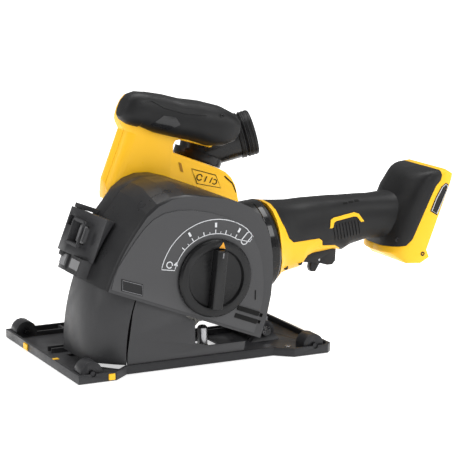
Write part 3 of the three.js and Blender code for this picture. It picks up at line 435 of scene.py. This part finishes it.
laid("scale_symbols", slot_symbol(), TOOL, cover_skin, INK_WHITE, "cover", 0.12, 0)
badge = [(-195, 10.6), (-171.5, 11.6), (-167.5, 0.6), (-191, -0.4)]
laid("cover_badge", [badge], TOOL, cover_skin, LABEL_BLACK, "cover", 0.3, 6)
badge_line = [(-193.6, 9.6), (-172.3, 10.5), (-168.9, 1.5), (-190.1, 0.6)]
laid("cover_badge_line", stroke(badge_line, 0.5, closed=True), TOOL, cover_skin, INK_GREY,
     "cover", 0.45, 0)
laid("lock_mark", stroke([(-53.4, 38.6), (-50, 29.6)], 1.1), TOOL, cover_skin, BLACK_INK_AND_SHADOW, "cover",
     0.12, 0)
dial_skin = skin_of(PIECES["depth_dial"])
laid("dial_pointer", [[polar(36.3, 78.5), polar(30.4, 72.5), polar(30.4, 84.5)]], TOOL, dial_skin,
     INK_ORANGE, "dial", 0.2, 0)
laid("dial_index", stroke([polar(22, 83), polar(27, 83)], 1.2), TOOL, dial_skin, INK_GREY, "dial",
     0.2, 0)


# ---------- screws ----------
def torx_heads(name, heads, body, mat):
    """Round screw heads with a six-lobed recess: (place, outward direction, radius)."""
    bm = bmesh.new()
    count = 36
    for place, outward, radius in heads:
        turn = Vector(outward).to_track_quat("Z", "Y").to_matrix().to_4x4()
        seat = Matrix.Translation(place) @ turn @ Matrix.Scale(MM, 4)
        rings = []
        for r, h, lobe in ((1, -1.2, 0), (1, 0.5, 0), (0.88, 0.8, 0), (0.52, 0.8, 0.16),
                           (0.48, -0.3, 0.16), (0.05, -0.3, 0)):
            ring = []
            for i in range(count):
                a = 2 * math.pi * i / count
                k = radius * r * (1 + lobe * math.cos(6 * a))
                ring.append(bm.verts.new(seat @ Vector((k * math.cos(a), k * math.sin(a), h))))
            rings.append(ring)
        for low, high in zip(rings, rings[1:]):
            for i in range(count):
                j = (i + 1) % count
                bm.faces.new((low[i], low[j], high[j], high[i]))
        bm.faces.new(rings[-1])
    return mesh_object(name, bm, mat, body, 30)


def hits(place, skin, spots, side=-1):
    """Points on skin straight in from the near (-1) or far (+1) side, with their normals."""
    found = []
    for a, b, radius in spots:
        start = place @ (Vector((a, 0, b)) * MM)
        start.y = side * RAY_START
        hit = skin.ray_cast(start, Vector((0, -side, 0)))[0]
        if hit is not None:
            found.append((hit - Vector((0, side * 0.0001, 0)), Vector((0, side, 0)), radius))
    return found


housing_skin = skin_of(PIECES["motor_housing_near"], PIECES["motor_housing_far"],
                       PIECES["handle_overmold"])
duct_skin = skin_of(PIECES["duct_housing_near"], PIECES["duct_housing_far"],
                    PIECES["front_grip"])
housing_spots = [(163, -24, 2.6), (183, -24, 2.4), (296, -17, 2.4), (322, -36, 2.4)]
duct_spots = [(-186, 100, 2.6), (-176, 152, 2.6), (-104, 128, 2.6)]
torx_heads("housing_screws", hits(MOTOR, housing_skin, housing_spots), "tool", DARK_STEEL)
torx_heads("housing_screws_far", hits(MOTOR, housing_skin, housing_spots, 1), "tool", DARK_STEEL)
torx_heads("duct_screws", hits(TOOL, duct_skin, duct_spots, 1), "tool", DARK_STEEL)
torx_heads("grip_screw", hits(TOOL, duct_skin, [(-112, 190, 2.4)]), "tool", LOOK["black_plastic"])


shoe_spots = ((-195, -90), (-195, 90), (10, -72), (10, 72), (-30, 92), (-140, 92))
torx_heads("shoe_screws", [(Vector((x, y, 3.2)) * MM, Vector((0, 0, 1)), 3.0)
                           for x, y in shoe_spots], "base", LOOK["steel"])


def blocks(name, items, place, mat, body, bevel=0.4):
    """Rounded blocks: (low corner, high corner) in millimetres of place."""
    bm = bmesh.new()
    for low, high in items:
        low, high = Vector(low), Vector(high)
        size = high - low
        at = place @ Matrix.Translation((low + high) / 2 * MM)
        bmesh.ops.create_cube(bm, size=1, matrix=at @ Matrix.Diagonal((*(size * MM), 1)))
    bmesh.ops.bevel(bm, geom=bm.edges[:], offset=bevel * MM, segments=2, affect="EDGES")
    return mesh_object(name, bm, mat, body)


def slot_web():
    """Thin web along the edge of the shoe's slot, outside the lower guard."""
    outer = [(-201, -2.6), (-201, -52.4), (-178.4, -78.6), (-108, -78.6)]
    inner = [(-188, -2.6), (-188, -50), (-170, -72), (-108, -72)]
    bm = bmesh.new()
    rows = [[bm.verts.new(Vector((x, y, z)) * MM) for x, y in line]
            for line, z in ((outer, 0.3), (outer, 1.1), (inner, 1.1), (inner, 0.3))]
    for k in range(4):
        for i in range(3):
            bm.faces.new((rows[k][i], rows[k][i + 1], rows[(k + 1) % 4][i + 1],
                          rows[(k + 1) % 4][i]))
    for i in (0, 3):
        bm.faces.new([row[i] for row in rows])
    bmesh.ops.recalc_face_normals(bm, faces=bm.faces[:])
    return mesh_object("slot_web", bm, LOOK["shoe_grey"], "base")


slot_web()

# yellow cutting-line markers on the shoe
blocks("line_markers", [((-228.4, 36, 0.8), (-226, 46, 7)),
                        ((-196.6, -101.9, 0.8), (-190, -100, 7)),
                        ((-226.9, -36, 8.3), (-221, -31, 9.1)),
                        ((45.4, -40, 0.8), (47, -34, 7))],
       LEVEL, LOOK["tool_yellow"], "base", 0.3)

# latch: two pale strips in its window, and the raised frame round the window
blocks("latch_bars", [((-219.5, -31, 27.5), (-216.3, -24.5, 44.5)),
                      ((-219.5, -20.5, 27.5), (-216.3, -14.5, 44.5))],
       TOOL, LUG_GREY, "latch", 0.5)
blocks("latch_frame", [((-226.6, -36.5, 46.2), (-224, -9.5, 49.5)),
                       ((-226.6, -36.5, 22.5), (-224, -9.5, 25.8)),
                       ((-226.6, -37.5, 22.5), (-224, -34.2, 49.5)),
                       ((-226.6, -12, 22.5), (-224, -9.2, 49.5)),
                       ((-225.8, -45, 30), (-222, -41, 44))],
       TOOL, LATCH_GREY, "latch", 0.6)

# light lugs that the two guard halves meet with, above the lip
blocks("guard_lug_far", [((-222.2, -14, 1), (-209, 0.5, 12.5))], TOOL, LUG_GREY, "tool",
       0.8)
blocks("guard_lug_near", [((-221.4, -46.5, 1), (-208, -24, 12))], TOOL, LUG_GREY, "cover",
       0.8)


# ---------- motor collar, handle trim ----------
def ring_band(name, radius, inner, s0, s1, mat, from_deg=0, to_deg=360):
    """Band about the motor axis from s0 to s1."""
    bm = bmesh.new()
    steps = 72
    closed = to_deg - from_deg >= 360
    profile = [(inner, s0), (radius - 0.5, s0), (radius, s0 + 0.5), (radius, s1 - 0.5),
               (radius - 0.5, s1), (inner, s1)]
    rings = []
    for i in range(steps if closed else steps + 1):
        a = math.radians(from_deg + (to_deg - from_deg) * i / steps)
        rings.append([bm.verts.new(MOTOR @ (Vector((s, MOTOR_Y - r * math.cos(a),
                                                    r * math.sin(a))) * MM))
                      for r, s in profile])
    pairs = list(zip(rings, rings[1:])) + ([(rings[-1], rings[0])] if closed else [])
    for a_ring, b_ring in pairs:
        for k in range(len(profile)):
            n = (k + 1) % len(profile)
            bm.faces.new((a_ring[k], b_ring[k], b_ring[n], a_ring[n]))
    if not closed:
        bm.faces.new(rings[0])
        bm.faces.new(rings[-1])
    return mesh_object(name, bm, mat, "tool")


ring_band("collar_ring_a", 47.6, 46.6, 115, 118, GLOSS_BLACK, -100, 40)
# The groove between the collar rings is painted shadow: a near-black band.
ring_band("collar_groove_painted_shadow", 47.5, 46.6, 124, 126, BLACK_INK_AND_SHADOW)
ring_band("collar_ring_c", 47.6, 46.6, 139, 145, GLOSS_BLACK, 5, 75)

stripe = [(218.3, 8.2), (220.3, 16.6), (224.2, 18.4), (250.6, 19.2), (255.9, 16.9), (261.3, 7.9),
          (257.6, 7.9), (253.4, 14.2), (249.2, 15.2), (226.6, 14.4), (224.2, 13.2), (222.2, 8.4)]
laid("handle_stripe", [stripe], MOTOR, housing_skin, LOOK["tool_yellow"], "tool",
     0.7, 3)
ribs = []
for i in range(9):
    s = 223.5 + 3.9 * i
    ribs += stroke([(s, 10.5), (s + 2.5, -6.5 + 0.15 * i)], 1.6)
laid("handle_ribs", ribs, MOTOR, housing_skin, LOOK["black_rubber"], "tool",
     0.8, 3)
marks = []
for s in (241.0, 248.5, 256.0):
    marks += stroke([(s, 29.5), (s + 5.5, 29.2)], 1.6)
laid("handle_marks", marks, MOTOR, housing_skin, BLACK_INK_AND_SHADOW, "tool", 0.3, 3)
label = [(334.5, 9.0), (342.5, 3.0), (358.0, 28.6), (359.5, 34.0), (356.0, 36.4), (350.0, 33.0),
         (342.0, 22.5)]
laid("foot_label", [label], MOTOR, housing_skin, LABEL_BLACK, "tool", 0.4, 5)
label_line = [(336.2, 9.2), (342.0, 5.0), (356.6, 29.2), (357.6, 33.4), (355.4, 34.8),
              (350.6, 31.8), (343.2, 22.0)]
laid("foot_label_line", stroke(label_line, 0.7, closed=True), MOTOR, housing_skin, INK_WHITE,
     "tool", 0.55, 0)

# ---------- trim on the duct and the front handle ----------
plate_outline = [(-115.6, 130.6), (-87.4, 132.4), (-77.0, 121.8), (-104.2, 118.2)]
laid("switch_frame", stroke(plate_outline, 0.7, closed=True), TOOL, duct_skin, BLACK_INK_AND_SHADOW, "tool",
     0.2, 0)
plate_marks = stroke(ring_points((-104, 125), 3.0, 20, 340, 18), 1.1)
plate_marks += stroke([(-97, 122.6), (-96.4, 128.4)], 1.1) + stroke([(-91, 123), (-90, 129)], 1.1)
plate_marks += stroke(ring_points((-86.2, 125.6), 2.4, -130, 130, 14), 1.1)
laid("switch_marks", plate_marks, TOOL, duct_skin, BLACK_INK_AND_SHADOW, "tool", 0.2, 0)
# Painted shadow: a thin orange-brown sheet where the duct's recess lies in shade.
laid("duct_recess_painted_shadow", [[(-132, 132.5), (-128.5, 132.5), (-123, 124.5), (-126, 124.5)]], TOOL,
     duct_skin, PAINTED_SHADOW_ORANGE, "tool", 0.15, 4)
# Painted shadow: a near-black stroke where the slot in the duct is dark inside.
laid("duct_slot_painted_shadow", stroke([(-77.5, 134.4), (-66, 130), (-58.5, 122.4)], 1.3), TOOL, duct_skin,
     BLACK_INK_AND_SHADOW, "tool", 0.15, 3)
laid("grip_ridge", stroke([(-196, 176), (-186, 181.5), (-172, 179), (-150, 180.5), (-128, 186)],
                          1.6), TOOL, duct_skin, LOOK["black_rubber"], "tool",
     0.7, 4)
laid("grip_scoop", [[(-178, 159), (-170, 171), (-158, 174), (-150, 168), (-160, 158.5)]], TOOL,
     duct_skin, GLOSS_BLACK, "tool", 0.4, 4)


def cuff_rings():
    """Grip rings round the hose cuff."""
    swing, rise = -20, -35
    around, across = 64, 8
    spin = Matrix.Rotation(math.radians(swing), 4, "Z") @ Matrix.Translation((0, 0, 15 * MM))
    place = (TOOL @ Matrix.Translation((-92 * MM, 48 * MM, 140.3 * MM)) @ spin
             @ Matrix.Rotation(math.radians(rise), 4, "Y"))
    bm = bmesh.new()
    for s in (42.5, 46.3, 50.0, 53.4):
        small = []
        for i in range(around):
            a = 2 * math.pi * i / around
            ring = []
            for k in range(across):
                b = 2 * math.pi * k / across
                r = 23.1 + 0.75 * math.cos(b)
                ring.append(bm.verts.new(place @ (Vector((s + 0.9 * math.sin(b), r * math.cos(a),
                                                          r * math.sin(a))) * MM)))
            small.append(ring)
        for i in range(around):
            p, q = small[i], small[(i + 1) % around]
            for k in range(across):
                n = (k + 1) % across
                bm.faces.new((p[k], q[k], q[n], p[n]))
    return mesh_object("cuff_rings", bm, LOOK["black_rubber"], "elbow", 60)


cuff_rings()

# ---------- floor ----------
bpy.ops.mesh.primitive_plane_add(size=12, location=(0, 0, -0.0005))
floor = bpy.context.object
floor.name = "floor"
floor.data.materials.append(surface("floor_white", (0.93, 0.93, 0.93), 0.8, grain=60, bump=0.01,
                                    mottle=0.005))


def pale_glow(tree):
    """Even white far off, and a soft shadow kept close round the tool."""
    nodes, links = tree.nodes, tree.links
    place = nodes.new("ShaderNodeTexCoord").outputs["Object"]
    reach = nodes.new("ShaderNodeVectorMath")
    reach.operation = "LENGTH"
    links.new(place, reach.inputs[0])
    level = nodes.new("ShaderNodeMapRange")
    level.inputs["From Min"].default_value = 0.28
    level.inputs["From Max"].default_value = 0.9
    level.inputs["To Min"].default_value = 0.56
    level.inputs["To Max"].default_value = 1.0
    links.new(reach.outputs["Value"], level.inputs["Value"])
    shader = nodes["Principled BSDF"]
    shader.inputs["Emission Color"].default_value = (1, 1, 1, 1)
    links.new(level.outputs["Result"], shader.inputs["Emission Strength"])


pale_glow(floor.data.materials[0].node_tree)
